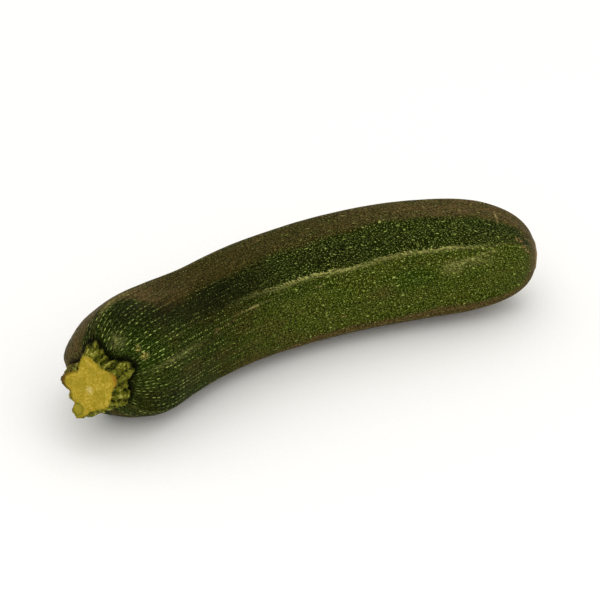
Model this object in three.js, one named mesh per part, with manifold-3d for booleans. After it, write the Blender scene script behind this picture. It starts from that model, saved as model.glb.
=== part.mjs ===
// A courgette as picked: one bent, ridged fruit that lies on its side, and the short stub of its
// stem, cut a little aslant. Millimetres, +Z up, +X from the stem to the blossom end. The fruit
// bends in the horizontal plane, hollow side towards -Y. The origin is under the middle of it all.

import * as THREE from "three";
import Module from "manifold-3d";

// Fruit: length and bend
const chord = 185; // straight from the stem end to the blossom end
const stemHandle = { along: 57, aside: 37.2 }; // how the centre line leaves the stem end
const blossomHandle = { along: 50.6, aside: 26.7 }; // and how it reaches the blossom end

// Fruit: thickness
const girths = [22.75, 18.1, 25.0, 19.85]; // Bezier values of the radius: shoulder to tip
const waist = { at: 49, depth: 0.63, width: 16 }; // drawn in a little more behind the shoulder
const stemCap = { length: 28, fullness: 2.85 }; // the rounded shoulder, a superellipse
const blossomCap = { length: 42.5, fullness: 2.55 }; // the rounded blossom end
const flatDepth = 0.7; // how far its own weight flattens the underside

// Fruit: five main ridges and five lesser ones halfway between them
const ridgeCount = 5;
const firstRidge = 144.3; // degrees round the fruit at mid length: 90 is up, 180 is the hollow side
const ridgeTwist = -1.5; // degrees from one end to the other
const ridgeSharpness = 10; // power of the rounded polygon
const ridgeDepth = { middle: 0.65, ends: 0.95 }; // 0 is round, 1 is the full polygon
const polygonMean = 1.05; // mean radius of that polygon, for a facet at 1
const lesserRidge = { height: 0.011, width: 10 }; // share of the girth, and degrees
const strongLesserRidge = { after: 4, height: 0.028, shift: -5 }; // the one above the first main ridge
const swelling = { height: 0.3, waves: 1.5 }; // slow unevenness along the sides

// Blossom scar: a shallow corky dish with a low rim, at the tip
const scar = { radius: 5, rim: 0.5, rimWidth: 1.3, dish: 0.9 };

// Stem: five lobes with hollows between them, each as degrees round the stem and reach from its
// middle, at the cut and at the foot. The degrees run as on the fruit.
const stemOutline = [
  { cut: [76, 10.6], foot: [74, 14.8] },
  { cut: [118, 8.8], foot: [112, 9.8] },
  { cut: [154, 12.1], foot: [146, 15.0] },
  { cut: [176, 9.8], foot: [172, 10.4] },
  { cut: [202, 10.0], foot: [197, 12.6] },
  { cut: [252, 8.5], foot: [238, 9.2] },
  { cut: [284, 12.4], foot: [275, 12.2] },
  { cut: [297, 11.6], foot: [289, 11.6] },
  { cut: [305, 7.9], foot: [300, 9.6] },
  { cut: [321, 8.5], foot: [318, 9.4] },
  { cut: [332, 7.8], foot: [330, 9.2] },
  { cut: [359, 10.9], foot: [357, 13.4] },
  { cut: [404, 6.7], foot: [396, 9.2] },
];
const stemLength = 9.4; // from the fruit's end of the centre line to the cut
const stemLean = { up: 17, side: 2 }; // degrees off the fruit's own line
const cutShift = 1.3; // the cut's middle lies this far to the hollow side of the root's
const stemRoot = 5; // how far the stem starts inside the fruit, before that is cut away
const footLevel = -0.6; // height of the widest place of the foot
const footBlend = { above: 5.4, below: 2.4 };
const furrows = { count: 23, depth: 0.4, slant: 0.12, drift: 1.3 };
const warts = { count: 80, height: 0.75, radius: 0.85, seed: 7 };
const cutBevel = 0.3;
const cutDish = 0.3; // the cut face dries a little hollow

const jointGap = 0.3; // clear space between the stem's foot and the fruit

// Mesh fineness
const fruitSides = 50;
const capRings = { stem: 12, blossom: 14 };
const bodyRings = 36;
const stemSides = 110;
const stemRings = 20;

const wasm = await Module();
wasm.setup();

const radians = THREE.MathUtils.degToRad;

function bezier(u, [a, b, c, d]) {
  const v = 1 - u;
  return v * v * v * a + 3 * v * v * u * b + 3 * v * u * u * c + u * u * u * d;
}

// A repeatable draw of numbers from 0 to 1.
function draws(seed) {
  let state = seed;
  return () => {
    state = (state * 16807) % 2147483647;
    return state / 2147483647;
  };
}

function angleBetween(a, b) {
  return Math.atan2(Math.sin(a - b), Math.cos(a - b));
}

function bump(offset, width) {
  return Math.exp(-((offset / width) ** 2));
}

// One closed mesh through rings of equal length, with a single point at each end.
function skinOf(firstPoint, rings, lastPoint) {
  const sides = rings[0].length;
  const points = [firstPoint, ...rings.flat(), lastPoint];
  const last = points.length - 1;
  const at = (ring, side) => 1 + ring * sides + (side % sides);
  const faces = [];
  for (let side = 0; side < sides; side++) {
    faces.push(0, at(0, side + 1), at(0, side));
    for (let ring = 0; ring < rings.length - 1; ring++) {
      const [a, b] = [at(ring, side), at(ring, side + 1)];
      const [c, d] = [at(ring + 1, side), at(ring + 1, side + 1)];
      faces.push(a, b, d, a, d, c);
    }
    faces.push(last, at(rings.length - 1, side), at(rings.length - 1, side + 1));
  }
  const geometry = new THREE.BufferGeometry().setFromPoints(points);
  geometry.setIndex(faces);
  return geometry;
}

// Fruit

const spine = new THREE.CubicBezierCurve3(
  new THREE.Vector3(-chord / 2, 0, 0),
  new THREE.Vector3(-chord / 2 + stemHandle.along, stemHandle.aside, 0),
  new THREE.Vector3(chord / 2 - blossomHandle.along, blossomHandle.aside, 0),
  new THREE.Vector3(chord / 2, 0, 0),
);
const spineLength = spine.getLength();
const up = new THREE.Vector3(0, 0, 1);

// Where the rings stand: the distance along the centre line, and how far each has swelled to its
// full girth.
function fruitStations() {
  const stations = [];
  for (let i = 1; i <= capRings.stem; i++) {
    const turn = (i / capRings.stem) * (Math.PI / 2);
    const power = 2 / stemCap.fullness;
    const distance = stemCap.length * (1 - Math.cos(turn) ** power);
    stations.push({ distance, swell: Math.sin(turn) ** power });
  }
  const bodyLength = spineLength - stemCap.length - blossomCap.length;
  for (let i = 1; i < bodyRings; i++)
    stations.push({ distance: stemCap.length + (i / bodyRings) * bodyLength, swell: 1 });
  for (let i = capRings.blossom; i >= 1; i--) {
    const turn = (i / capRings.blossom) * (Math.PI / 2);
    const power = 2 / blossomCap.fullness;
    const distance = spineLength - blossomCap.length * (1 - Math.cos(turn) ** power);
    stations.push({ distance, swell: Math.sin(turn) ** power });
  }
  return stations;
}

function girthAt(share) {
  return bezier(share, girths) - waist.depth * bump(share * spineLength - waist.at, waist.width);
}

function ridgeAngle(share) {
  return radians(firstRidge + ridgeTwist * (share - 0.5));
}

// The outline round the fruit, as a share of the girth.
function roundness(angle, share, swell) {
  const first = ridgeAngle(share);
  const step = (2 * Math.PI) / ridgeCount;
  let facets = 0;
  let lesser = 0;
  for (let i = 0; i < ridgeCount; i++) {
    const facet = first + (i + 0.5) * step;
    facets += Math.max(0, Math.cos(angle - facet)) ** ridgeSharpness;
    const strong = i === strongLesserRidge.after;
    const height = strong ? strongLesserRidge.height : lesserRidge.height;
    const crown = facet + (strong ? radians(strongLesserRidge.shift) : 0);
    lesser += height * bump(angleBetween(angle, crown), radians(lesserRidge.width));
  }
  const polygon = facets ** (-1 / ridgeSharpness);
  const depth = THREE.MathUtils.lerp(ridgeDepth.ends, ridgeDepth.middle, swell);
  return 1 + depth * (polygon - polygonMean) + lesser;
}

function scarRelief(radius) {
  const rim = scar.rim * bump(radius - scar.radius, scar.rimWidth);
  return rim - scar.dish * bump(radius, scar.radius * 0.6);
}

function fruitPoint({ distance, swell }, angle, grown) {
  const share = distance / spineLength;
  const tangent = spine.getTangentAt(share);
  const aside = new THREE.Vector3().crossVectors(up, tangent);
  const girth = girthAt(share);
  const uneven = swelling.height * Math.sin(2 * Math.PI * swelling.waves * share + 2 * angle);
  const radius = girth * swell * roundness(angle, share, swell) + uneven * swell + grown;
  const point = spine.getPointAt(share);
  point.z = girth - flatDepth;
  point.addScaledVector(aside, radius * Math.cos(angle));
  point.addScaledVector(up, radius * Math.sin(angle));
  if (share > 0.5) point.addScaledVector(tangent, scarRelief(radius));
  point.z = Math.max(point.z, 0); // lies on a narrow flat along its underside
  return point;
}

function fruitGeometry(grown = 0) {
  const rings = fruitStations().map((station) => {
    const share = station.distance / spineLength;
    return Array.from({ length: fruitSides }, (_, side) => {
      const angle = ridgeAngle(share) + (side / fruitSides) * 2 * Math.PI;
      return fruitPoint(station, angle, grown);
    });
  });
  const stemPole = spine.getPointAt(0).addScaledVector(spine.getTangentAt(0), -grown);
  stemPole.z = girthAt(0) - flatDepth;
  const blossomPole = spine.getPointAt(1).addScaledVector(spine.getTangentAt(1), scarRelief(0));
  blossomPole.z = girthAt(1) - flatDepth;
  return skinOf(stemPole, rings, blossomPole);
}

// Stem

const stemFrame = (() => {
  const outward = spine.getTangentAt(0).negate();
  const aside = new THREE.Vector3().crossVectors(outward, up);
  const along = outward
    .clone()
    .addScaledVector(up, Math.tan(radians(stemLean.up)))
    .addScaledVector(aside, Math.tan(radians(stemLean.side)))
    .normalize();
  const upright = up.clone().addScaledVector(along, -up.dot(along)).normalize();
  const sideways = new THREE.Vector3().crossVectors(along, upright);
  const root = spine.getPointAt(0);
  root.z = girthAt(0) - flatDepth;
  return { root, along, upright, sideways };
})();

const wartPlaces = (() => {
  const draw = draws(warts.seed);
  return Array.from({ length: warts.count }, () => ({
    angle: draw() * 2 * Math.PI,
    height: draw() * stemLength,
    size: 0.5 + 0.5 * draw(),
  }));
})();

function wartRelief(angle, height, radius) {
  let relief = 0;
  for (const wart of wartPlaces) {
    const across = angleBetween(angle, wart.angle) * radius;
    const away = Math.hypot(across, height - wart.height);
    relief += wart.size * warts.height * bump(away, warts.radius);
  }
  return relief;
}

// How far the foot has spread at a height: 1 at its widest place, 0 at the cut.
function footSpread(height) {
  const offset = height - footLevel;
  return bump(offset, offset > 0 ? footBlend.above : footBlend.below);
}

// The stem's plain outline at a height, without its furrows and warts.
function outlineReach(angle, spread) {
  const turn = 2 * Math.PI;
  const marks = stemOutline.map(({ cut, foot }) => ({
    at: radians(THREE.MathUtils.lerp(cut[0], foot[0], spread)),
    reach: THREE.MathUtils.lerp(cut[1], foot[1], spread),
  }));
  marks.push({ at: marks[0].at + turn, reach: marks[0].reach });
  const from = marks[0].at;
  const place = from + ((((angle - from) % turn) + turn) % turn);
  const next = marks.findIndex((mark) => mark.at >= place);
  const [before, after] = [marks[Math.max(next, 1) - 1], marks[Math.max(next, 1)]];
  const part = THREE.MathUtils.smoothstep(place, before.at, after.at);
  return THREE.MathUtils.lerp(before.reach, after.reach, part);
}

function stemRadius(angle, height) {
  const reach = outlineReach(angle, footSpread(height));
  const fade = THREE.MathUtils.smoothstep(stemLength - height, 0, 1.5);
  const drift = furrows.drift * Math.sin(3 * angle + 0.3 * height);
  const turned = furrows.count * (angle + radians(furrows.slant * height)) + drift;
  const furrow = furrows.depth * Math.cos(turned);
  return reach + fade * (furrow + wartRelief(angle, height, reach));
}

function stemPoint(angle, height, radius) {
  const { root, along, upright, sideways } = stemFrame;
  return root
    .clone()
    .addScaledVector(along, height)
    .addScaledVector(upright, radius * Math.sin(angle))
    .addScaledVector(sideways, radius * Math.cos(angle) - cutShift * (height / stemLength));
}

function stemGeometry() {
  const angles = Array.from({ length: stemSides }, (_, side) => (-side / stemSides) * 2 * Math.PI);
  const ring = (height, shrink, share = 1) =>
    angles.map((a) => stemPoint(a, height, share * (stemRadius(a, height) - shrink)));
  const rings = [];
  for (let i = 0; i <= stemRings; i++) {
    const height = THREE.MathUtils.lerp(-stemRoot, stemLength - cutBevel, i / stemRings);
    rings.push(ring(height, 0));
  }
  for (const share of [1, 0.75, 0.45, 0.2]) {
    const height = stemLength - cutDish * (1 - share ** 2);
    rings.push(ring(height, cutBevel, share));
  }
  const rootPoint = stemPoint(0, -stemRoot, 0);
  const cutPoint = stemPoint(0, stemLength - cutDish, 0);
  return skinOf(rootPoint, rings, cutPoint);
}

// Solids

function solidOf(geometry) {
  return new wasm.Manifold(
    new wasm.Mesh({
      numProp: 3,
      vertProperties: geometry.attributes.position.array,
      triVerts: new Uint32Array(geometry.index.array),
    }),
  );
}

function geometryOf(solid) {
  const { vertProperties, triVerts } = solid.getMesh();
  const geometry = new THREE.BufferGeometry();
  geometry.setAttribute("position", new THREE.BufferAttribute(vertProperties, 3));
  geometry.setIndex(new THREE.BufferAttribute(triVerts, 1));
  geometry.computeVertexNormals();
  return geometry;
}

function makeFruit() {
  const geometry = fruitGeometry();
  geometry.computeVertexNormals();
  const skin = new THREE.MeshStandardMaterial({ color: 0x32411a, roughness: 0.42, metalness: 0 });
  const mesh = new THREE.Mesh(geometry, skin);
  mesh.name = "fruit";
  return mesh;
}

function makeStem() {
  const stub = solidOf(stemGeometry()).subtract(solidOf(fruitGeometry(jointGap)));
  const rind = new THREE.MeshStandardMaterial({ color: 0x9a922f, roughness: 0.6, metalness: 0 });
  const mesh = new THREE.Mesh(geometryOf(stub), rind);
  mesh.name = "stem";
  return mesh;
}

const courgette = new THREE.Group();
courgette.name = "courgette";
courgette.add(makeFruit(), makeStem());

const box = new THREE.Box3().setFromObject(courgette, true);
const middle = box.getCenter(new THREE.Vector3());
courgette.position.set(-middle.x, -middle.y, -box.min.z);

export default courgette;
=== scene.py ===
"""Dresses the courgette: finely modelled fruit and stem, their skins, floor, light and camera.

Lengths are in millimetres in the modelling functions and turned into metres when a mesh is made.
The fruit's own coordinates are used throughout: how far along the skin from the stem, and the turn
round the fruit in degrees, where 90 is up and 180 is the hollow side.
"""

import math

import bpy
import numpy as np
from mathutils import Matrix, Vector, noise
from mathutils.bvhtree import BVHTree


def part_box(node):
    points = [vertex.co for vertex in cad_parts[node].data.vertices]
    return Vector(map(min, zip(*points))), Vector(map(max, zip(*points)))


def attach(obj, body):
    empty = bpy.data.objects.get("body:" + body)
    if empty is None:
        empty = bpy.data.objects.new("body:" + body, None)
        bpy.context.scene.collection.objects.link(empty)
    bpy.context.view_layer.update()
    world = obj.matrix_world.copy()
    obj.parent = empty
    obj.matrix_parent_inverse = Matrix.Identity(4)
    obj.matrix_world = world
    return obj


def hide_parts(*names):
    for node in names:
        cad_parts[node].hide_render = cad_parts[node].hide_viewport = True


MM = 0.001

# The fruit, as in the CAD model
CHORD = 185
STEM_HANDLE = (57, 37.2)
BLOSSOM_HANDLE = (50.6, 26.7)
GIRTHS = (22.75, 18.1, 25.0, 19.85)
WAIST_AT, WAIST_DEPTH, WAIST_WIDTH = 49, 0.63, 16
STEM_CAP = (28, 2.85)
BLOSSOM_CAP = (42.5, 2.55)
FLAT_DEPTH = 0.7
RIDGES = 5
FIRST_RIDGE = 144.3
RIDGE_TWIST = -1.5
RIDGE_SHARPNESS = 10
RIDGE_DEPTH_MIDDLE, RIDGE_DEPTH_ENDS = 0.65, 0.95
POLYGON_MEAN = 1.05
LESSER_HEIGHT, LESSER_WIDTH = 0.011, 10
STRONG_LESSER_AFTER, STRONG_LESSER_HEIGHT, STRONG_LESSER_SHIFT = 4, 0.028, -5
SWELLING_HEIGHT, SWELLING_WAVES = 0.3, 1.5
SCAR_RADIUS, SCAR_RIM, SCAR_RIM_WIDTH, SCAR_DISH = 5, 0.5, 1.3, 0.9

# On the cut: the pale middle, and the ring in the lowest lobe; millimetres out, and degrees
PITH_AT = (1.3, 240)
LOBE_RING_AT = (9.6, 289)

# The stem, as in the CAD model: degrees and reach at the cut, then at the foot
STEM_OUTLINE = (
    ((76, 10.6), (74, 14.8)),
    ((118, 8.8), (112, 9.8)),
    ((154, 12.1), (146, 15.0)),
    ((176, 9.8), (172, 10.4)),
    ((202, 10.0), (197, 12.6)),
    ((252, 8.5), (238, 9.2)),
    ((284, 12.4), (275, 12.2)),
    ((297, 11.6), (289, 11.6)),
    ((305, 7.9), (300, 9.6)),
    ((321, 8.5), (318, 9.4)),
    ((332, 7.8), (330, 9.2)),
    ((359, 10.9), (357, 13.4)),
    ((404, 6.7), (396, 9.2)),
)
STEM_LENGTH = 9.4
STEM_LEAN_UP, STEM_LEAN_SIDE = 17, 2
CUT_SHIFT = 1.3
FOOT_LEVEL, FOOT_ABOVE, FOOT_BELOW = -0.6, 5.4, 2.4
FURROWS, FURROW_DEPTH, FURROW_SLANT, FURROW_DRIFT = 23, 0.4, 0.12, 1.3
WARTS, WART_HEIGHT, WART_RADIUS, WART_SEED = 80, 0.75, 0.85, 7
CUT_BEVEL, CUT_DISH = 0.3, 0.3

# Fineness of the shown meshes
FRUIT_SIDES = 240
FRUIT_RINGS = {"stem": 80, "body": 190, "blossom": 80}
STEM_SIDES = 460
STEM_SIDE_RINGS, STEM_CUT_RINGS = 90, 44

SKIN_RADIUS = 22  # nominal radius on which the skin's pattern is laid out
CREST_HEIGHT, CREST_WIDTH = 0.22, 0.9  # fine raised line on each main ridge
GROOVE_COUNT, GROOVE_DEPTH, GROOVE_REACH = 46, 0.12, 34  # faint grooves fanning out from the stem
LUMPS = ((26, 0.16), (9, 0.07))  # size and height of the skin's slow unevenness

# Where the brown bands of painted sheen end, as the turn at a few places along: above, and below on the
# hollow side
TOP_BAND_EDGE = (
    (12, 50), (20, 66), (27, 74), (33, 77), (37, 87), (42, 104), (50, 111), (60, 109),
    (82, 110), (100, 107), (126, 106), (144, 101), (166, 104), (192, 107), (205, 110),
)
LOW_BAND_EDGE = (
    (12, 258), (18, 236), (26, 222), (40, 216), (60, 214), (95, 211), (110, 209),
    (128, 208), (146, 208), (155, 207),
    (163, 204.5), (173, 205), (181, 205.5), (191, 207), (201, 206), (204, 201), (207, 185),
)

# Where the brown bands of painted sheen begin, above, and end, below
TOP_BAND_START = ((10, -20), (28, 0), (42, 40), (80, 52), (180, 50), (205, 36))
LOW_BAND_END = 266

# The turn of the ridge from which the hidden side is lit green, up to the top band
BACK_START = FIRST_RIDGE - 216

# The front ridge's pale line, its own pale colour with painted highlight on it: (along, sideways shift in
# millimetres, strength)
FRONT_LINE = (
    (60, -1.3, 0.0),
    (72, -2.2, 0.1),
    (84, -1.5, 0.25),
    (92, -0.8, 0.55),
    (101, -1.1, 0.9),
    (110, -0.8, 0.8),
    (121, 0.0, 0.9),
    (133, 0.0, 0.45),
    (138, -0.7, 0.55),
    (149, -1.1, 0.8),
    (158, -0.8, 0.9),
    (169, -0.8, 0.8),
    (174, -0.6, 0.45),
    (182, -0.4, 0.35),
    (190, -1.2, 0.15),
    (200, -3.0, 0.0),
)
OTHER_LINES = 0.1  # strength of the pale line on the other ridges
CREST_WANDER = ((104, 0.45, 97), (33, 0.16, 5), (9, 0.07, 2))  # wave length, size, where it starts

# Marks on the skin: (along the skin, turn, half length, half width, strength)
SCUFFS = (
    (58, 156, 3.2, 1.8, 0.4),
    (64, 155, 3.0, 1.4, 0.35),
    (68, 154, 2.5, 0.9, 0.35),
    (19.5, 131, 1.3, 1.6, 0.8),
    (19.5, 142, 1.8, 1.8, 0.9),
    (190.6, 107, 0.4, 3.0, 0.8),
    (200, 132, 2.0, 1.6, 0.9),
    (202, 141, 1.4, 1.8, 1.0),
    (204, 146, 1.6, 1.0, 0.8),
    (205, 122, 3.0, 1.0, 0.6),
    (120.6, 195.5, 1.4, 0.6, 0.8),
    (132, 262, 9, 4, 0.6),
    (150, 330, 7, 2.2, 0.6),
    (88, 20, 12, 1.2, 0.6),
)
STREAKS = (
    (77, 150.7, 6.5, 0.18, 0.9),
    (109, 153.3, 0.9, 0.3, 0.7),
    (190.8, 102, 0.35, 3.4, 0.6),
)
PALE_PATCHES = (
    (169, 161, 4.5, 2.2, 0.5),
    (171.5, 158, 3, 0.8, 0.9),
    (176.5, 155, 3.2, 0.6, 1.0),
    (182, 151, 3, 0.5, 0.8),
    (187, 148, 3, 0.4, 0.7),
    (180, 158, 7, 1.6, 0.3),
    (17, 108, 2.6, 3.6, 0.35),
    (30, 75, 9, 0.8, 0.5),
    (34, 160, 12, 1.0, 0.4),
)
BROWN_PATCHES = (
    (48, 101, 9, 5, 1.0),
    (62, 176, 26, 12, 0.35),
    (86, 206, 18, 4, 0.6),
    (139, 176, 5, 3, 0.5),
    (204, 112, 4, 5, 0.8),
    (209, 150, 3, 16, 1.0),
)
DARK_PATCHES = (
    (28, 96, 9, 7, 0.9),
    (42, 114, 16, 8, 1.0),
    (68, 125, 32, 9, 1.0),
    (190, 116, 12, 3, 0.6),
    (20, 72, 6, 3, 0.8),
    (203, 128, 4, 6, 0.8),
    (24, 200, 16, 8, 0.6),
    (115, 126, 40, 7, 0.5),
)
GREEN_PATCHES = (
    (152, 167, 11, 5, 0.9),
    (99, 152, 12, 2.5, 0.8),
    (176, 170, 6, 3, 0.5),
    (24, 150, 10, 14, 0.6),
    (60, 330, 30, 12, 0.6),
    (120, 20, 34, 9, 0.6),
)

# The skin's colours, as seen, between its flecks: the darker and the lighter of the two tones
SKIN_TONES = {
    "plain": ((4, 10, 0), (44, 56, 0)),
    "by stem": ((8, 17, 0), (38, 54, 2)),
    "vivid": ((6, 24, 0), (42, 68, 0)),
    "dark": ((6, 8, 0), (26, 28, 4)),
    "tired": ((14, 13, 0), (54, 50, 12)),
    # painted light: the lighter tones of the lit facets
    "hollow": ((16, 26, 0), (76, 86, 14)),
    "hollow tired": ((30, 28, 2), (82, 76, 24)),
    # painted sheen together with real stains, in a darker and then a brighter brown
    "sheen_and_stain": ((24, 21, 0), (80, 68, 28)),
    "bright_sheen_and_stain": ((52, 40, 14), (112, 92, 56)),
}

FLECK_EDGE = (0.55, 1.2)  # where a fleck starts to fade and where it ends, as a share of its half size
SCAR_EDGE, SCAR_MIDDLE = (210.8, 211.9), (213.6, 215.4)  # how far along the blossom scar's zones begin

# The photograph's view, in millimetres round the middle of the fruit's straight length
VIEW_AZIMUTH, VIEW_ELEVATION = -30.7, 30.0
VIEW_DISTANCE = 700
VIEW_AIM = (-3.86, 15.22, 20.0)
PIXELS_PER_MM, FRAME_PIXELS = 2.708, 600
SENSOR = 36

# Lights, in metres and watts: name, azimuth, elevation, distance, size, power, tint
LIGHTS = (
    ("Key", -45, 38, 1.3, 0.9, 2.2, (1.0, 0.98, 0.94)),
    ("Front", 15, 28, 1.5, 1.1, 2.2, (1.0, 0.98, 0.95)),
    ("Top", 120, 72, 1.5, 1.4, 2.2, (1.0, 0.97, 0.93)),
)
LIT_PLACE = (0, 0, 0.02)
SKY_TINT, SKY_STRENGTH = (1.0, 0.985, 0.96, 1), 0.95
FLOOR_TONES = ((0.94, 0.94, 0.935, 1), (0.96, 0.96, 0.955, 1))


def bezier(u, values):
    a, b, c, d = values
    v = 1 - u
    return v**3 * a + 3 * v * v * u * b + 3 * v * u * u * c + u**3 * d


def bump(offset, width):
    return np.exp(-((offset / width) ** 2))


def smoothstep(low, high, value):
    t = np.clip((value - low) / (high - low), 0, 1)
    return t * t * (3 - 2 * t)


def lerp(a, b, t):
    return a + (b - a) * t


def angle_between(a, b):
    return np.arctan2(np.sin(a - b), np.cos(a - b))


# Fruit


class Spine:
    """The fruit's bent centre line, by distance along it."""

    def __init__(self):
        u = np.linspace(0, 1, 4001)
        half = CHORD / 2
        x = bezier(u, (-half, -half + STEM_HANDLE[0], half - BLOSSOM_HANDLE[0], half))
        y = bezier(u, (0, STEM_HANDLE[1], BLOSSOM_HANDLE[1], 0))
        self.points = np.stack([x, y, np.zeros_like(x)], axis=1)
        steps = np.linalg.norm(np.diff(self.points, axis=0), axis=1)
        self.distances = np.concatenate([[0], np.cumsum(steps)])
        self.length = self.distances[-1]
        self.tangents = np.gradient(self.points, self.distances, axis=0, edge_order=2)

    def _at(self, table, distance):
        return np.stack([np.interp(distance, self.distances, table[:, i]) for i in range(3)], axis=-1)

    def point(self, distance):
        return self._at(self.points, distance)

    def tangent(self, distance):
        t = self._at(self.tangents, distance)
        return t / np.linalg.norm(t, axis=-1, keepdims=True)


SPINE = Spine()


def girth_at(distance):
    return bezier(distance / SPINE.length, GIRTHS) - WAIST_DEPTH * bump(distance - WAIST_AT, WAIST_WIDTH)


def fruit_stations():
    """Distances of the rings along the spine, and how far each has swelled to its full girth."""

    def cap(length, fullness, count):
        turn = np.arange(1, count + 1) / count * math.pi / 2
        return length * (1 - np.cos(turn) ** (2 / fullness)), np.sin(turn) ** (2 / fullness)

    near, near_swell = cap(*STEM_CAP, FRUIT_RINGS["stem"])
    far, far_swell = cap(*BLOSSOM_CAP, FRUIT_RINGS["blossom"])
    body = np.linspace(STEM_CAP[0], SPINE.length - BLOSSOM_CAP[0], FRUIT_RINGS["body"] + 1)[1:-1]
    distance = np.concatenate([near, body, (SPINE.length - far)[::-1]])
    swell = np.concatenate([near_swell, np.ones_like(body), far_swell[::-1]])
    return distance, swell


def twist(share):
    return np.radians(RIDGE_TWIST) * (share - 0.5)


def roundness(angle, share, swell):
    """The outline round the fruit, as a share of the girth."""
    facets = 0
    lesser = 0
    for i in range(RIDGES):
        facet = math.radians(FIRST_RIDGE + (i + 0.5) * 360 / RIDGES) + twist(share)
        facets = facets + np.clip(np.cos(angle - facet), 0, None) ** RIDGE_SHARPNESS
        strong = i == STRONG_LESSER_AFTER
        height = STRONG_LESSER_HEIGHT if strong else LESSER_HEIGHT
        crown = facet + (math.radians(STRONG_LESSER_SHIFT) if strong else 0)
        lesser = lesser + height * bump(angle_between(angle, crown), math.radians(LESSER_WIDTH))
    polygon = facets ** (-1 / RIDGE_SHARPNESS)
    depth = lerp(RIDGE_DEPTH_ENDS, RIDGE_DEPTH_MIDDLE, swell)
    return 1 + depth * (polygon - POLYGON_MEAN) + lesser


def scar_relief(radius):
    rim = SCAR_RIM * bump(radius - SCAR_RADIUS, SCAR_RIM_WIDTH)
    return rim - SCAR_DISH * bump(radius, SCAR_RADIUS * 0.6)


def crest_wander(along, ridge):
    """How far a ridge's crest line strays sideways, in millimetres."""
    ridge = ridge % RIDGES
    wander = 0
    for length, size, start in CREST_WANDER:
        wander = wander + size * np.sin(2 * math.pi * (along - start) / length + 2.1 * ridge)
    places, shifts, _ = zip(*FRONT_LINE)
    return np.where(ridge == 0, np.interp(along, places, shifts), wander)


def line_strength(along, ridge):
    """How clearly a ridge's pale line shows."""
    places, _, strengths = zip(*FRONT_LINE)
    return np.where(ridge % RIDGES == 0, np.interp(along, places, strengths), OTHER_LINES)


def band(along, turn, start, end):
    """How far inside a lengthwise band the skin lies, in millimetres; start and end are turns."""

    def edge(value):
        if isinstance(value, tuple):
            return np.interp(along, *zip(*value))
        return value

    low, high = np.radians(edge(start)), np.radians(edge(end))
    return ((high - low) / 2 - np.abs(angle_between(turn, (low + high) / 2))) * SKIN_RADIUS


def lumps(points):
    """Slow unevenness, from smooth noise in space."""
    out = np.zeros(len(points))
    for size, height in LUMPS:
        out += height * np.array([noise.noise(Vector(p / size)) for p in points])
    return out


def fine_relief(along, turn, swell, crest):
    """What the CAD model is too coarse for: crest lines and grooves by the stem."""
    line = CREST_HEIGHT * bump(crest, CREST_WIDTH) * swell
    fade = np.clip(1 - along / GROOVE_REACH, 0, 1) * smoothstep(0.15, 0.5, swell)
    grooves = GROOVE_DEPTH * fade * np.cos(GROOVE_COUNT * turn + 1.3 * np.sin(3 * turn))
    return line + grooves


def ellipses(marks, along, turn):
    """Soft oval marks on the skin, 0 to 1."""
    total = np.zeros_like(along)
    for centre, degrees, half_length, half_width, strength in marks:
        x = (along - centre) / half_length
        y = angle_between(turn, math.radians(degrees)) * SKIN_RADIUS / half_width
        total = np.maximum(total, strength * np.exp(-(x**2 + y**2)))
    return total


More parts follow.
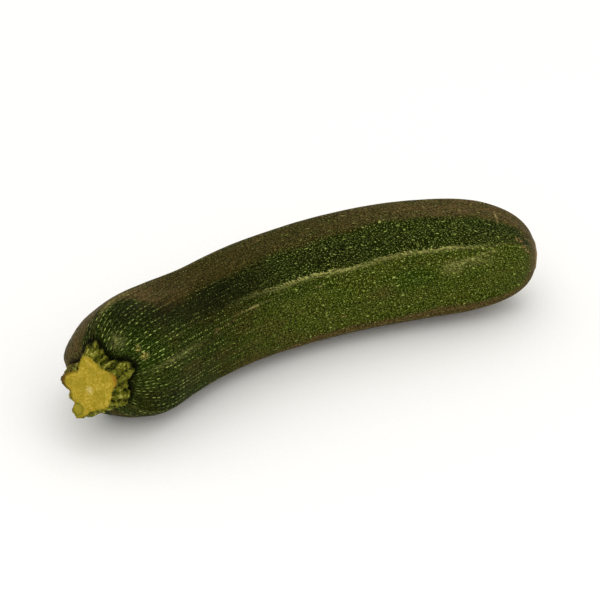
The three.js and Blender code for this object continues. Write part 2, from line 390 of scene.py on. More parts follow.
def make_fruit(spine, material):
    distance, swell = fruit_stations()
    share = distance / spine.length
    girth = girth_at(distance)
    run = np.hypot(np.diff(distance, prepend=0), np.diff(girth * swell, prepend=0))
    along = np.cumsum(run)[:, None] + np.zeros((1, FRUIT_SIDES))
    turn = np.radians(FIRST_RIDGE) + np.arange(FRUIT_SIDES)[None, :] / FRUIT_SIDES * 2 * math.pi
    turn = turn + np.zeros_like(along)
    angle = turn + twist(share)[:, None]
    swell2 = swell[:, None]

    ridge_step = 2 * math.pi / RIDGES
    nearest = np.round((turn - math.radians(FIRST_RIDGE)) / ridge_step)
    off_ridge = (turn - math.radians(FIRST_RIDGE) - nearest * ridge_step) * SKIN_RADIUS
    crest = off_ridge - crest_wander(along, nearest)

    uneven = SWELLING_HEIGHT * np.sin(2 * math.pi * SWELLING_WAVES * share[:, None] + 2 * angle)
    radius = girth[:, None] * swell2 * roundness(angle, share[:, None], swell2) + uneven * swell2
    flat_pattern = np.stack([along, SKIN_RADIUS * np.cos(turn), SKIN_RADIUS * np.sin(turn)], axis=-1)
    lump = lumps(flat_pattern.reshape(-1, 3)).reshape(along.shape) * swell2
    radius = radius + lump + fine_relief(along, turn, swell2, crest)

    tangent = spine.tangent(distance)
    aside = np.cross([0, 0, 1], tangent)
    points = spine.point(distance)[:, None, :] + aside[:, None, :] * (radius * np.cos(angle))[..., None]
    points[..., 2] = (girth - FLAT_DEPTH)[:, None] + radius * np.sin(angle)
    tip = (share > 0.5)[:, None] * scar_relief(radius)
    points += tangent[:, None, :] * tip[..., None]
    points[..., 2] = np.maximum(points[..., 2], 0)

    stem_pole = spine.point(0.0) + [0, 0, girth_at(0) - FLAT_DEPTH]
    blossom_pole = spine.point(spine.length) + [0, 0, girth_at(spine.length) - FLAT_DEPTH]
    blossom_pole = blossom_pole + spine.tangent(spine.length) * scar_relief(0.0)
    vertices = np.concatenate([[stem_pole], points.reshape(-1, 3), [blossom_pole]])

    def with_poles(values):
        first, last = values[0].mean(axis=0), values[-1].mean(axis=0)
        return np.concatenate([[first], values.reshape(-1, *values.shape[2:]), [last]])

    marks = {
        "pattern": flat_pattern,
        "scuff": ellipses(SCUFFS, along, turn),
        "streak": ellipses(STREAKS, along, turn),
        "pale": ellipses(PALE_PATCHES, along, turn),
        "brown": ellipses(BROWN_PATCHES, along, turn),
        "green": ellipses(GREEN_PATCHES, along, turn),
        "dark": ellipses(DARK_PATCHES, along, turn),
        "crest": crest,
        "line": line_strength(along, nearest),
        "top_band": band(along, turn, TOP_BAND_START, TOP_BAND_EDGE),
        "low_band": band(along, turn, LOW_BAND_EDGE, LOW_BAND_END),
        "hollow": band(along, turn, FIRST_RIDGE, LOW_BAND_EDGE) - crest_wander(along, 0),
        "back": band(along, turn, BACK_START, TOP_BAND_START),
        "off_stem": off_stem(spine, points),
    }
    data = {name: with_poles(np.asarray(values)) for name, values in marks.items()}
    fruit = mesh_of("Fruit", vertices, grid_faces(len(distance), FRUIT_SIDES), data)
    fruit.data.materials.append(material)
    return fruit


def grid_faces(rings, sides):
    """Faces of a closed skin: a pole, rings of equal length and another pole, facing out."""
    faces = []
    last = rings * sides + 1
    for side in range(sides):
        after = (side + 1) % sides
        faces.append((0, 1 + after, 1 + side))
        for ring in range(rings - 1):
            a = 1 + ring * sides
            faces.append((a + side, a + after, a + sides + after, a + sides + side))
        end = 1 + (rings - 1) * sides
        faces.append((last, end + side, end + after))
    return faces


def mesh_of(name, vertices, faces, data):
    mesh = bpy.data.meshes.new(name)
    mesh.from_pydata((np.asarray(vertices) * MM).tolist(), [], faces)
    for key, values in data.items():
        values = np.asarray(values, dtype=np.float32)
        kind = "FLOAT_VECTOR" if values.ndim == 2 else "FLOAT"
        layer = mesh.attributes.new(key, kind, "POINT")
        layer.data.foreach_set("vector" if values.ndim == 2 else "value", values.ravel())
    mesh.polygons.foreach_set("use_smooth", np.ones(len(mesh.polygons), dtype=bool))
    mesh.update()
    mesh.validate()
    piece = bpy.data.objects.new(name, mesh)
    bpy.context.scene.collection.objects.link(piece)
    return piece


# Stem


def wart_places():
    """The same warts as in the CAD model, from the same repeatable draw."""
    state = WART_SEED

    def draw():
        nonlocal state
        state = (state * 16807) % 2147483647
        return state / 2147483647

    return [(draw() * 2 * math.pi, draw() * STEM_LENGTH, 0.5 + 0.5 * draw()) for _ in range(WARTS)]


def foot_spread(height):
    offset = height - FOOT_LEVEL
    return np.where(offset > 0, bump(offset, FOOT_ABOVE), bump(offset, FOOT_BELOW))


def outline_reach(angle, height):
    spread = foot_spread(height)
    turn = 2 * math.pi
    marks = [(np.radians(lerp(c[0], f[0], spread)), lerp(c[1], f[1], spread)) for c, f in STEM_OUTLINE]
    marks.append((marks[0][0] + turn, marks[0][1]))
    place = marks[0][0] + (angle - marks[0][0]) % turn
    reach = np.zeros_like(place)
    for (start, low), (end, high) in zip(marks, marks[1:]):
        inside = (place >= start) & (place <= end)
        reach = np.where(inside, lerp(low, high, smoothstep(start, end, place)), reach)
    return reach


def stem_relief(angle, height, reach, places):
    """Furrows and warts on the stem's sides, in millimetres."""
    drift = FURROW_DRIFT * np.sin(3 * angle + 0.3 * height)
    relief = FURROW_DEPTH * np.cos(FURROWS * (angle + np.radians(FURROW_SLANT * height)) + drift)
    for wart_angle, wart_height, size in places:
        across = angle_between(angle, wart_angle) * reach
        away = np.hypot(across, height - wart_height)
        relief = relief + size * WART_HEIGHT * bump(away, WART_RADIUS)
    return relief


def stem_axes(spine):
    outward = -spine.tangent(0.0)
    up = np.array([0.0, 0.0, 1.0])
    aside = np.cross(outward, up)
    lean_up, lean_side = math.tan(math.radians(STEM_LEAN_UP)), math.tan(math.radians(STEM_LEAN_SIDE))
    along = outward + up * lean_up + aside * lean_side
    along /= np.linalg.norm(along)
    upright = up - along * along.dot(up)
    upright /= np.linalg.norm(upright)
    root = spine.point(0.0) + up * (girth_at(0) - FLAT_DEPTH)
    return root, along, upright, np.cross(along, upright)


def contact_heights(place, angles, fruit):
    """For each direction round the stem, the height at which its side meets the fruit's skin."""
    mesh = fruit.data
    tree = BVHTree.FromPolygons([v.co for v in mesh.vertices], [p.vertices for p in mesh.polygons])

    def inside(height, angle):
        point = Vector(place(np.array([height]), np.array([angle]))[0] * MM)
        hit, normal, _, _ = tree.find_nearest(point)
        return (point - hit).dot(normal) < 0

    heights = []
    for angle in angles:
        low, high = -5.0, STEM_LENGTH - 1
        for _ in range(12):
            middle = (low + high) / 2
            low, high = (middle, high) if inside(middle, angle) else (low, middle)
        heights.append(low)
    return np.array(heights)


def off_stem(spine, points):
    """How far outside the stem's side, in millimetres, points lie."""
    root, along, upright, sideways = stem_axes(spine)
    offset = points - root
    height = offset @ along
    across = offset @ sideways + CUT_SHIFT * height / STEM_LENGTH
    rise = offset @ upright
    gap = np.hypot(across, rise) - outline_reach(np.arctan2(rise, across), height)
    return np.where(height > -20, gap, 99.0)


def make_stem(spine, fruit, material):
    root, along, upright, sideways = stem_axes(spine)
    places = wart_places()

    def place(height, angle, share=1.0, shrink=0.0):
        reach = outline_reach(angle, height)
        fade = smoothstep(0, 1.5, STEM_LENGTH - height)
        relief = stem_relief(angle, height, reach, places)
        radius = share * (reach + fade * relief - shrink)
        shift = radius * np.cos(angle) - CUT_SHIFT * height / STEM_LENGTH
        rise = height[..., None] * along + (radius * np.sin(angle))[..., None] * upright
        return root + rise + shift[..., None] * sideways

    angles = -np.arange(STEM_SIDES) / STEM_SIDES * 2 * math.pi
    contact = contact_heights(place, angles, fruit)
    rows = {"point": [], "relief": [], "lift": [], "cut": [], "rim": [], "face": []}

    def add_row(height, share=1.0, shrink=0.0, cut=0.0, roughness=0.0):
        height = height + np.zeros_like(angles)
        point = place(height, angles, share, shrink)
        reach = outline_reach(angles, height)
        relief = stem_relief(angles, height, reach, places)
        grain = np.array([noise.noise(Vector(p * 1.1)) for p in point])
        fine = np.array([noise.noise(Vector(p * 2.6 + 7)) for p in point])
        outward = (np.cos(angles)[:, None] * sideways + np.sin(angles)[:, None] * upright)
        rough = 0.5 * grain + 0.32 * fine
        point = point + outward * (rough * roughness)[:, None]
        rows["point"].append(point)
        rows["relief"].append(relief + 1.2 * rough)
        rows["lift"].append(height - contact)
        rows["cut"].append(cut + np.zeros_like(angles))
        rows["rim"].append(share + np.zeros_like(angles))
        flat = np.stack([np.cos(angles) * reach * share, np.sin(angles) * reach * share, height], axis=-1)
        rows["face"].append(flat)

    top = STEM_LENGTH - CUT_BEVEL
    for i in range(STEM_SIDE_RINGS + 1):
        t = i / STEM_SIDE_RINGS
        height = lerp(contact - 0.8, top, t)
        add_row(height, roughness=1.0)
    for t in (0.35, 0.7):
        add_row(STEM_LENGTH - CUT_BEVEL * (1 - t) ** 2, shrink=CUT_BEVEL * t**2, cut=t, roughness=1.0)
    for i in range(STEM_CUT_RINGS):
        share = 1 - i / STEM_CUT_RINGS
        height = STEM_LENGTH - CUT_DISH * (1 - share**2)
        add_row(height, share=share, shrink=CUT_BEVEL, cut=1.0, roughness=share**4)

    def flat_rows(name):
        values = np.concatenate(rows[name])
        first = rows[name][0].mean(axis=0)
        last = rows[name][-1].mean(axis=0)
        return np.concatenate([[first], values, [last]])

    count = STEM_SIDE_RINGS + 1 + 2 + STEM_CUT_RINGS
    data = {name: flat_rows(name) for name in rows if name != "point"}
    stem = mesh_of("Stem", flat_rows("point"), grid_faces(count, STEM_SIDES), data)
    stem.data.materials.append(material)
    return stem


# Materials


class Nodes:
    """Short names for building one material's node tree."""

    def __init__(self, name):
        self.material = bpy.data.materials.new(name)
        self.material.use_nodes = True
        self.tree = self.material.node_tree
        self.shader = self.tree.nodes["Principled BSDF"]

    def put(self, value, socket):
        if isinstance(value, bpy.types.NodeSocket):
            self.tree.links.new(value, socket)
        else:
            socket.default_value = value

    def attribute(self, name, output="Fac"):
        node = self.tree.nodes.new("ShaderNodeAttribute")
        node.attribute_name = name
        return node.outputs[output]

    def math(self, operation, a, b=0.0, clamp=False):
        node = self.tree.nodes.new("ShaderNodeMath")
        node.operation = operation
        node.use_clamp = clamp
        self.put(a, node.inputs[0])
        self.put(b, node.inputs[1])
        return node.outputs[0]

    def product(self, *factors):
        total = factors[0]
        for factor in factors[1:]:
            total = self.math("MULTIPLY", total, factor)
        return total

    def largest(self, *values):
        most = values[0]
        for value in values[1:]:
            most = self.math("MAXIMUM", most, value)
        return most

    def vector(self, operation, a, b):
        node = self.tree.nodes.new("ShaderNodeVectorMath")
        node.operation = operation
        self.put(a, node.inputs[0])
        self.put(b, node.inputs[1])
        return node.outputs["Value"] if operation in ("DOT_PRODUCT", "DISTANCE") else node.outputs[0]

    def ramp(self, value, low, high, to_low=0.0, to_high=1.0):
        """Smoothly maps low..high to to_low..to_high and stays inside them."""
        node = self.tree.nodes.new("ShaderNodeMapRange")
        node.interpolation_type = "SMOOTHSTEP"
        for socket, number in zip(node.inputs[1:5], (low, high, to_low, to_high)):
            socket.default_value = number
        self.put(value, node.inputs[0])
        return node.outputs[0]

    def mix(self, factor, a, b):
        node = self.tree.nodes.new("ShaderNodeMix")
        node.data_type = "RGBA"
        self.put(factor, node.inputs[0])
        self.put(a, node.inputs[6])
        self.put(b, node.inputs[7])
        return node.outputs[2]

    def noise(self, vector, scale, detail=3.0, roughness=0.55):
        node = self.tree.nodes.new("ShaderNodeTexNoise")
        self.put(vector, node.inputs["Vector"])
        node.inputs["Scale"].default_value = scale
        node.inputs["Detail"].default_value = detail
        node.inputs["Roughness"].default_value = roughness
        return node.outputs["Fac"]

    def cells(self, vector, size, randomness):
        """Flat Voronoi cells of a size in millimetres: each one's point and its colour."""
        node = self.tree.nodes.new("ShaderNodeTexVoronoi")
        node.voronoi_dimensions = "2D"
        self.put(vector, node.inputs["Vector"])
        node.inputs["Scale"].default_value = 1 / size
        node.inputs["Randomness"].default_value = randomness
        return node.outputs["Position"], node.outputs["Color"]

    def parts(self, vector):
        node = self.tree.nodes.new("ShaderNodeSeparateXYZ")
        self.put(vector, node.inputs[0])
        return node.outputs

    def join(self, x, y):
        node = self.tree.nodes.new("ShaderNodeCombineXYZ")
        self.put(x, node.inputs[0])
        self.put(y, node.inputs[1])
        return node.outputs[0]

    def random(self, vector):
        """A random colour for each whole-numbered place."""
        node = self.tree.nodes.new("ShaderNodeTexWhiteNoise")
        node.noise_dimensions = "2D"
        self.put(vector, node.inputs["Vector"])
        return node.outputs["Color"]

    def channels(self, colour):
        node = self.tree.nodes.new("ShaderNodeSeparateColor")
        self.put(colour, node.inputs[0])
        return node.outputs

    def red(self, colour):
        return self.channels(colour)[0]

    def bump(self, height, distance):
        node = self.tree.nodes.new("ShaderNodeBump")
        node.inputs["Strength"].default_value = 1.0
        node.inputs["Distance"].default_value = distance
        self.put(height, node.inputs["Height"])
        return node.outputs[0]


def colour(red, green, blue):
    """A colour as seen, 0 to 255, as the linear value that Blender wants."""

    def linear(value):
        value /= 255
        return value / 12.92 if value <= 0.04045 else ((value + 0.055) / 1.055) ** 2.4

    return (linear(red), linear(green), linear(blue), 1.0)


def oval(n, x, y):
    """1 inside a fleck and 0 outside; x and y are shares of its half size."""
    away = n.math("SQRT", n.math("ADD", n.product(x, x), n.product(y, y)))
    return n.ramp(away, *FLECK_EDGE, 1.0, 0.0)


def fleck_layer(n, flat, gap, half, randomness, rarity, unevenness=1.0):
    """Oval flecks in loose rows; gap and half size are lengths along the fruit and across it."""
    squeeze = gap[1] / gap[0]
    squeezed = n.vector("MULTIPLY", flat, (squeeze, 1.0, 1.0))
    centre, tint = n.cells(squeezed, gap[1], randomness)
    x, y, _ = n.parts(n.vector("SUBTRACT", squeezed, centre))
    x = n.math("DIVIDE", x, n.product(half[0], squeeze))
    y = n.math("DIVIDE", y, half[1])
    strength = n.math("POWER", n.ramp(n.red(tint), rarity, 1.0), unevenness)
    return n.product(oval(n, x, y), strength)


def stitch_layer(n, along, around, gap, half, rarity):
    """Oval flecks strung in lengthwise rows; gap and half size are lengths along and across."""
    row = n.math("FLOOR", n.math("DIVIDE", around, gap[1]))
    start = n.product(n.red(n.random(n.join(row, 0.5))), 50.0)
    place = n.math("ADD", n.math("DIVIDE", along, gap[0]), start)
    column = n.math("FLOOR", place)
    tint = n.random(n.join(column, row))
    strength, jolt, sway = n.channels(tint)
    x = n.math("SUBTRACT", place, column)
    x = n.math("SUBTRACT", x, n.math("ADD", 0.3, n.product(jolt, 0.4)))
    y = n.math("SUBTRACT", n.math("DIVIDE", around, gap[1]), row)
    y = n.math("SUBTRACT", y, n.math("ADD", 0.4, n.product(sway, 0.2)))
    x = n.product(x, gap[0] / half[0])
    y = n.product(y, gap[1] / half[1])
    return n.product(oval(n, x, y), n.ramp(strength, rarity, 1.0))


class SkinNodes(Nodes):
    """The skin's node tree, with the places and noises that its parts share."""

    def __init__(self):
        super().__init__("courgette_skin")
        self.pattern = self.attribute("pattern", "Vector")
        self.along, side, rise = self.parts(self.pattern)
        self.around = self.product(self.math("ARCTAN2", side, rise), SKIN_RADIUS)
        self.broad = self.stretched_noise((0.5, 1.0, 1.0), 0.09, 2.0)
        self.middle = self.stretched_noise((0.35, 1.0, 1.0), 0.18, 4.0)
        self.fine = self.noise(self.pattern, 1.1, 3.0, 0.7)
        self.grain = self.stretched_noise((0.6, 1.0, 1.0), 2.7, 2.0, 0.6)
        far = self.ramp(self.along, 20.0, 90.0, 0.0, 9.0)
        drift = self.product(self.math("SUBTRACT", self.broad, 0.5), far)
        self.row = self.math("ADD", self.around, drift)
        self.by_stem = self.ramp(self.along, 30.0, 60.0, 1.0, 0.0)

    def stretched_noise(self, squeeze, *settings):
        return self.noise(self.vector("MULTIPLY", self.pattern, squeeze), *settings)

    def without(self, share, factor):
        """What is left of 1 after a share, weighed by a factor, is taken off."""
        return self.math("SUBTRACT", 1.0, self.product(share, factor))


def skin_zones(n):
    """How far each place belongs to the skin's zones of colour, 0 to 1."""
    along = n.along
    sway = n.product(n.math("SUBTRACT", n.middle, 0.5), 5.0)

    def strip(name, soft, wander=1.0):
        """1 inside one of the lengthwise bands, with a slightly wandering edge."""
        edge = n.math("ADD", n.attribute(name), n.product(sway, wander))
        return n.ramp(edge, -soft, soft)

    # Painted light: the lower facet on the hollow side, which faces the lamps, and the hidden side are
    # painted in lighter lit tones.
    hollow = n.product(strip("hollow", 0.9, 0.2), n.ramp(along, 44.0, 104.0, 0.1, 1.0))
    back = n.product(strip("back", 1.5), 0.6)

    # Painted sheen: the brownish rims seen at grazing angles along the top and the bottom are painted in
    # as bands.
    top_band = n.product(strip("top_band", 2.0, 0.7), 0.92)
    low_band = n.product(strip("low_band", 1.2, 0.5), n.ramp(along, 40.0, 100.0, 0.6, 0.95))
    stained = n.product(n.attribute("brown"), n.ramp(n.middle, 0.3, 0.6))
    stained = n.largest(stained, n.ramp(along, 203.0, 209.0, 0.0, 0.95))
    streaky = n.stretched_noise((0.2, 1.0, 1.0), 0.7, 4.0, 0.75)
    # Painted sheen on the rim bands, together with real brown stains and the browning by the blossom
    # scar.
    sheen_and_stain = n.product(n.largest(top_band, low_band, stained), n.ramp(n.fine, 0.3, 0.6, 0.75, 1.0))
    sheen_and_stain = n.product(sheen_and_stain, n.ramp(streaky, 0.36, 0.54, 0.45, 1.0))

    # Brighter painted sheen towards the blossom end, along the bottom rim and on the shoulder by the
    # stem, together with brighter real stains.
    bright_sheen_and_stain = n.largest(
        n.ramp(along, 110.0, 190.0),
        n.product(low_band, 0.9),
        n.ramp(along, 40.0, 58.0, 1.0, 0.0),
        n.product(n.attribute("brown"), 0.7),
    )
    return {
        "lit": n.largest(hollow, back),
        "sheen_and_stain": sheen_and_stain,
        "bright_sheen_and_stain": n.product(bright_sheen_and_stain, n.ramp(streaky, 0.4, 0.6, 0.6, 1.1)),
        "tired": n.product(n.ramp(n.middle, 0.4, 0.68), n.ramp(along, 40.0, 130.0, 0.85, 0.45)),
        "vivid": n.largest(n.attribute("green"), n.ramp(n.broad, 0.56, 0.7, 0.0, 0.6)),
    }


def skin_ground(n, zones, tone):
    """The colour between the flecks, from one tone of every zone."""
    tones = {name: colour(*pair[tone]) for name, pair in SKIN_TONES.items()}
    skin = n.mix(n.by_stem, tones["plain"], tones["by stem"])
    skin = n.mix(zones["tired"], skin, tones["tired"])
    hollow = n.mix(zones["tired"], tones["hollow"], tones["hollow tired"])
    skin = n.mix(zones["lit"], skin, hollow)
    skin = n.mix(n.product(zones["vivid"], 0.8), skin, tones["vivid"])
    skin = n.mix(n.attribute("dark"), skin, tones["dark"])
    return n.mix(zones["sheen_and_stain"], skin, n.mix(zones["bright_sheen_and_stain"], tones["sheen_and_stain"], tones["bright_sheen_and_stain"]))


def skin_flecks(n, sheen_and_stain):
    """Dashes in rows near the stem, scattered flecks further along, and dust everywhere."""
    along, around = n.along, n.around
    in_rows = n.ramp(along, 60.0, 115.0, 1.0, 0.0)
    in_dashes = n.ramp(along, 34.0, 48.0, 1.0, 0.0)
    dashes = stitch_layer(n, along, around, (2.3, 1.73), (0.8, 0.22), 0.0)
    beads = stitch_layer(n, along, around, (1.25, 1.73), (0.34, 0.22), 0.1)
    stretches = n.noise(n.join(n.product(along, 0.09), n.product(around, 0.45)), 1.0, 1.0)
    rows = n.product(n.mix(in_dashes, beads, dashes), n.ramp(stretches, 0.38, 0.56, 0.12, 0.95))

    flat = n.join(n.math("ADD", along, n.product(n.row, 0.37)), n.row)
    dust = n.product(fleck_layer(n, flat, (0.8, 0.62), (0.24, 0.15), 0.9, 0.1, 1.4), 0.45)
    dust = n.product(dust, n.without(in_rows, 0.4))
    dots = fleck_layer(n, flat, (1.6, 1.15), (0.29, 0.16), 0.75, -0.4)
    drops = fleck_layer(n, flat, (5.0, 3.4), (0.5, 0.22), 0.8, 0.2)
    ovals = fleck_layer(n, flat, (8.5, 5.6), (0.72, 0.27), 0.7, -0.1)
    scattered = n.product(n.largest(n.product(dots, 0.9), drops, ovals), n.without(in_rows, 0.9))

    flecks = n.largest(n.product(rows, in_rows), scattered, dust)
    flecks = n.product(flecks, n.ramp(sheen_and_stain, 0.2, 0.9, 1.0, 0.75))
    return n.product(flecks, n.ramp(n.attribute("dark"), 0.0, 1.0, 1.0, 0.45))


def pale_lines(n):
    """The fibrous pale lines on the ridges, and the pale smears."""
    slanted = n.join(n.product(n.along, 0.25), n.math("ADD", n.row, n.product(n.along, 0.35)))
    strokes = n.ramp(n.noise(slanted, 1.9, 2.0, 0.6), 0.4, 0.62)
    frayed = n.product(n.math("SUBTRACT", strokes, 0.5), 0.7)
    fibrous = n.math("ADD", n.attribute("crest"), frayed)
    line = n.product(n.ramp(fibrous, -0.6, -0.1), n.ramp(fibrous, 0.0, 1.9, 1.0, 0.0))
    pale = n.largest(n.product(line, n.attribute("line")), n.attribute("pale"))
    pale = n.math("MULTIPLY", pale, n.ramp(strokes, 0.0, 1.0, 0.15, 1.0), clamp=True)
    return n.product(pale, n.ramp(n.grain, 0.36, 0.56, 0.35, 1.0))


def skin_material():
    n = SkinNodes()
    zones = skin_zones(n)
    shade = n.ramp(n.grain, 0.4, 0.68)
    skin = n.mix(shade, skin_ground(n, zones, 0), skin_ground(n, zones, 1))

    flecks = skin_flecks(n, zones["sheen_and_stain"])
    fleck_colour = n.mix(n.by_stem, colour(154, 170, 84), colour(170, 188, 96))
    fleck_colour = n.mix(zones["sheen_and_stain"], fleck_colour, colour(142, 126, 76))
    skin = n.mix(n.product(flecks, 0.9), skin, fleck_colour)
    # The ridges' pale lines: their own pale colour, with painted highlight on the front ridge.
    skin = n.mix(pale_lines(n), skin, colour(172, 168, 98))

    cork = n.ramp(n.stretched_noise((0.6, 1.0, 1.0), 1.5, 3.0, 0.7), 0.48, 0.6)
    cork = n.product(cork, n.ramp(n.attribute("scuff"), 0.15, 0.6))
    cork_colour = n.mix(n.by_stem, colour(170, 138, 90), colour(176, 162, 84))
    skin = n.mix(n.product(cork, 0.9), skin, cork_colour)
    broken = n.ramp(n.stretched_noise((0.6, 0.2, 0.2), 1.1, 1.0), 0.38, 0.5)
    skin = n.mix(n.product(broken, n.attribute("streak")), skin, colour(196, 178, 112))

    frayed = n.math("ADD", n.along, n.product(n.math("SUBTRACT", n.fine, 0.5), 3.0))
    bark = n.mix(n.ramp(n.grain, 0.35, 0.65), colour(84, 64, 36), colour(150, 126, 86))
    skin = n.mix(n.ramp(frayed, *SCAR_EDGE), skin, bark)
    skin = n.mix(n.ramp(frayed, *SCAR_MIDDLE, 0.0, 0.7), skin, colour(60, 46, 22))
    # Painted shade: the skin is painted near-black in the crevice round the stem's foot.
    skin = n.mix(n.ramp(n.attribute("off_stem"), 0.3, 3.2, 0.95, 0.0), skin, colour(6, 8, 0))
    n.put(skin, n.shader.inputs["Base Color"])

    roughness = n.ramp(n.middle, 0.3, 0.7, 0.42, 0.55)
    roughness = n.math("ADD", roughness, n.product(cork, 0.3), clamp=True)
    n.put(roughness, n.shader.inputs["Roughness"])
    n.shader.inputs["Specular IOR Level"].default_value = 0.015

    relief = n.math("ADD", n.product(flecks, 0.6), n.product(n.fine, 0.5))
    n.put(n.bump(n.math("ADD", relief, cork), 0.00009), n.shader.inputs["Normal"])
    return n.material


def stem_material():
    n = Nodes("courgette_stem")
    relief = n.attribute("relief")
    lift = n.attribute("lift")
    cut = n.attribute("cut")
    rim = n.attribute("rim")
    face = n.attribute("face", "Vector")

    coarse = n.noise(face, 0.3, 4.0, 0.65)
    fine = n.noise(face, 2.2, 4.0, 0.7)
    fibres = n.noise(n.vector("MULTIPLY", face, (1.0, 1.0, 0.15)), 0.8, 4.0, 0.65)

    warty = n.noise(n.vector("MULTIPLY", face, (1.0, 1.0, 0.35)), 1.5, 2.0, 0.6)
    # Painted shade and highlight: from the relief, the stem's furrows are painted dark and its warts and
    # ridges pale.
    uneven = n.math("ADD", relief, n.product(n.math("SUBTRACT", warty, 0.5), 4.0))
    green = n.mix(n.ramp(uneven, -0.7, 0.8), colour(14, 20, 0), colour(112, 112, 28))
    green = n.mix(n.ramp(uneven, 0.7, 1.5, 0.0, 0.9), green, colour(174, 168, 84))
    green = n.mix(n.ramp(fine, 0.45, 0.7, 0.0, 0.5), green, colour(56, 68, 6))
    green = n.mix(n.ramp(coarse, 0.4, 0.65, 0.0, 0.3), green, colour(36, 44, 4))
    # Painted shade: the stem's side is painted near-black just above where it meets the fruit.
    side = n.mix(n.ramp(lift, 0.1, 2.2, 1.0, 0.0), green, colour(8, 10, 0))

    x, y, _ = n.parts(face)

    def away_from(reach, degrees):
        """How far from a place on the cut, in millimetres."""
        place = (reach * math.cos(math.radians(degrees)), reach * math.sin(math.radians(degrees)), 0.0)
        return n.vector("DISTANCE", n.join(x, y), place)

    from_middle = away_from(*PITH_AT)
    from_knob = away_from(*LOBE_RING_AT)
    flesh = n.mix(n.ramp(fibres, 0.36, 0.64), colour(148, 126, 22), colour(176, 152, 44))
    flesh = n.mix(n.ramp(fine, 0.5, 0.64, 0.0, 0.8), flesh, colour(202, 180, 86))
    flesh = n.mix(n.ramp(fine, 0.34, 0.46, 0.6, 0.0), flesh, colour(120, 102, 12))
    flesh = n.mix(n.ramp(coarse, 0.4, 0.62, 0.0, 0.6), flesh, colour(136, 124, 24))
    pith = n.product(n.ramp(from_middle, 0.5, 2.0, 1.0, 0.0), n.ramp(fine, 0.4, 0.56))
    flesh = n.mix(n.product(pith, 0.7), flesh, colour(212, 198, 132))
    ring = n.ramp(n.math("ABSOLUTE", n.math("SUBTRACT", from_knob, 2.0)), 0.1, 0.5, 1.0, 0.0)
    flesh = n.mix(n.ramp(from_knob, 1.8, 3.2, 0.5, 0.0), flesh, colour(130, 126, 40))
    flesh = n.mix(n.product(ring, 0.6), flesh, colour(92, 92, 16))

    def lobe(degrees, sharpness):
        way = (math.cos(math.radians(degrees)), math.sin(math.radians(degrees)), 0.0)
        reach = n.vector("DOT_PRODUCT", face, way)
        return n.ramp(reach, 12.0 - sharpness, 12.0)

    stain = n.product(lobe(156, 2.6), n.ramp(rim, 0.74, 0.97))
    stain = n.product(stain, n.ramp(fine, 0.3, 0.6, 0.4, 1.0))
    flesh = n.mix(n.product(stain, 0.9), flesh, colour(150, 88, 26))
    edge = n.product(n.ramp(rim, 0.92, 1.0), n.ramp(coarse, 0.3, 0.6, 0.3, 1.0))
    flesh = n.mix(n.product(edge, 0.6), flesh, colour(98, 96, 22))
    scorch = n.product(lobe(2, 9.0), n.ramp(rim, 0.84, 0.94))
    scorch = n.product(scorch, n.ramp(cut, 0.0, 0.3, 0.5, 1.0))
    dressed = n.mix(n.ramp(cut, 0.3, 0.9), side, flesh)
    n.put(n.mix(n.product(scorch, 0.9), dressed, colour(66, 38, 14)), n.shader.inputs["Base Color"])
    n.put(n.ramp(fine, 0.3, 0.7, 0.5, 0.72), n.shader.inputs["Roughness"])
    n.shader.inputs["Specular IOR Level"].default_value = 0.04
    n.shader.inputs["Subsurface Weight"].default_value = 0.08
    n.shader.inputs["Subsurface Radius"].default_value = (1.0, 0.8, 0.2)
    n.shader.inputs["Subsurface Scale"].default_value = 0.0012
    grain = n.math("ADD", n.product(fibres, 0.6), n.product(fine, 0.6))
    n.put(n.bump(grain, 0.00022), n.shader.inputs["Normal"])
    return n.material


# Stage


def make_floor():
    bpy.ops.mesh.primitive_plane_add(size=6)
    floor = bpy.context.object
    floor.name = "Floor"
    n = Nodes("pale_floor")
    place = n.tree.nodes.new("ShaderNodeTexCoord").outputs["Object"]
    tone = n.noise(place, 900.0, 2.0)
    n.put(n.mix(n.ramp(tone, 0.3, 0.7), *FLOOR_TONES), n.shader.inputs["Base Color"])
    n.shader.inputs["Roughness"].default_value = 0.85
    n.shader.inputs["Specular IOR Level"].default_value = 0.1
    floor.data.materials.append(n.material)


def direction(azimuth, elevation):
    """The way from the courgette to a light or camera; azimuth 0 is on the -Y side."""
    a, e = math.radians(azimuth), math.radians(elevation)
    return Vector((math.sin(a) * math.cos(e), -math.cos(a) * math.cos(e), math.sin(e)))


def make_light(name, azimuth, elevation, distance, size, power, tint):
    data = bpy.data.lights.new(name, "AREA")
    data.size = size
    data.energy = power
    data.color = tint
    light = bpy.data.objects.new(name, data)
    way = direction(azimuth, elevation)
    light.location = Vector(LIT_PLACE) + way * distance
    light.rotation_mode = "QUATERNION"
    light.rotation_quaternion = (-way).to_track_quat("-Z", "Y")
    bpy.context.scene.collection.objects.link(light)


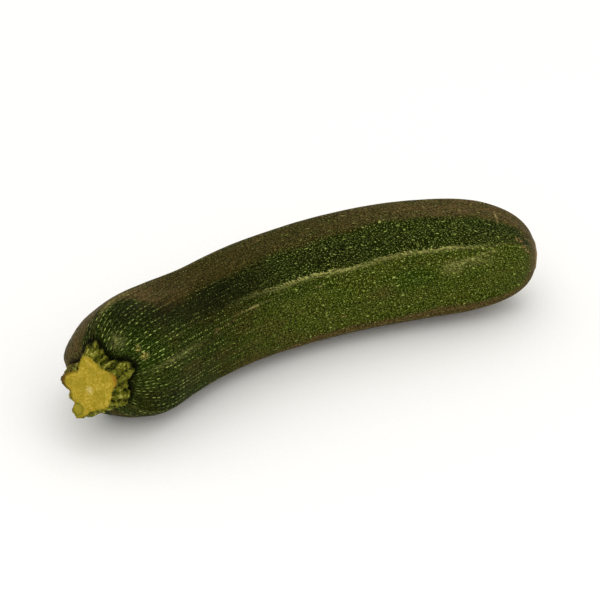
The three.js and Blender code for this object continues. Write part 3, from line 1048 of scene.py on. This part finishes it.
def make_lights():
    for light in LIGHTS:
        make_light(*light)
    world = bpy.data.worlds.new("Studio")
    world.use_nodes = True
    sky = world.node_tree.nodes["Background"]
    sky.inputs["Color"].default_value = SKY_TINT
    sky.inputs["Strength"].default_value = SKY_STRENGTH
    bpy.context.scene.world = world


def make_camera(shift):
    data = bpy.data.cameras.new("Camera")
    data.sensor_width = SENSOR
    data.lens = SENSOR * VIEW_DISTANCE * PIXELS_PER_MM / FRAME_PIXELS
    data.clip_start, data.clip_end = 0.05, 20
    camera = bpy.data.objects.new("Camera", data)
    back = direction(VIEW_AZIMUTH, VIEW_ELEVATION)
    camera.location = Vector(VIEW_AIM) * MM + shift + back * VIEW_DISTANCE * MM
    camera.rotation_mode = "QUATERNION"
    camera.rotation_quaternion = (-back).to_track_quat("-Z", "Y")
    bpy.context.scene.collection.objects.link(camera)
    bpy.context.scene.camera = camera


def box_of(piece):
    corners = np.array([v.co for v in piece.data.vertices])
    return Vector(corners.min(axis=0)), Vector(corners.max(axis=0))


def shift_to_frame(fruit):
    """From the middle of the fruit's straight length to where the CAD model puts it."""
    low, high = box_of(fruit)
    frame_low, frame_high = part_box("fruit")
    shift = (frame_low + frame_high) / 2 - (low + high) / 2
    shift.z = 0
    return shift


def move_mesh(piece, shift):
    for vertex in piece.data.vertices:
        vertex.co += shift


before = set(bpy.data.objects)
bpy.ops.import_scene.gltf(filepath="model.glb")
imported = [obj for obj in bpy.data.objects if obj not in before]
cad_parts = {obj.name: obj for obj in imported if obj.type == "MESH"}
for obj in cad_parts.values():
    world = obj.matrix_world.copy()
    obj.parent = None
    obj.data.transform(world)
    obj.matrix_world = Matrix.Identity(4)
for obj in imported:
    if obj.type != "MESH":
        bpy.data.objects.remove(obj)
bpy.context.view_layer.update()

fruit = make_fruit(SPINE, skin_material())
stem = make_stem(SPINE, fruit, stem_material())
shift = shift_to_frame(fruit)
for piece, node, slot in ((fruit, "fruit", "skin"), (stem, "stem", "stem")):
    move_mesh(piece, shift)
    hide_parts(node)
    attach(piece, "root")

make_floor()
make_lights()
make_camera(shift)
bpy.context.scene.view_settings.view_transform = "Standard"
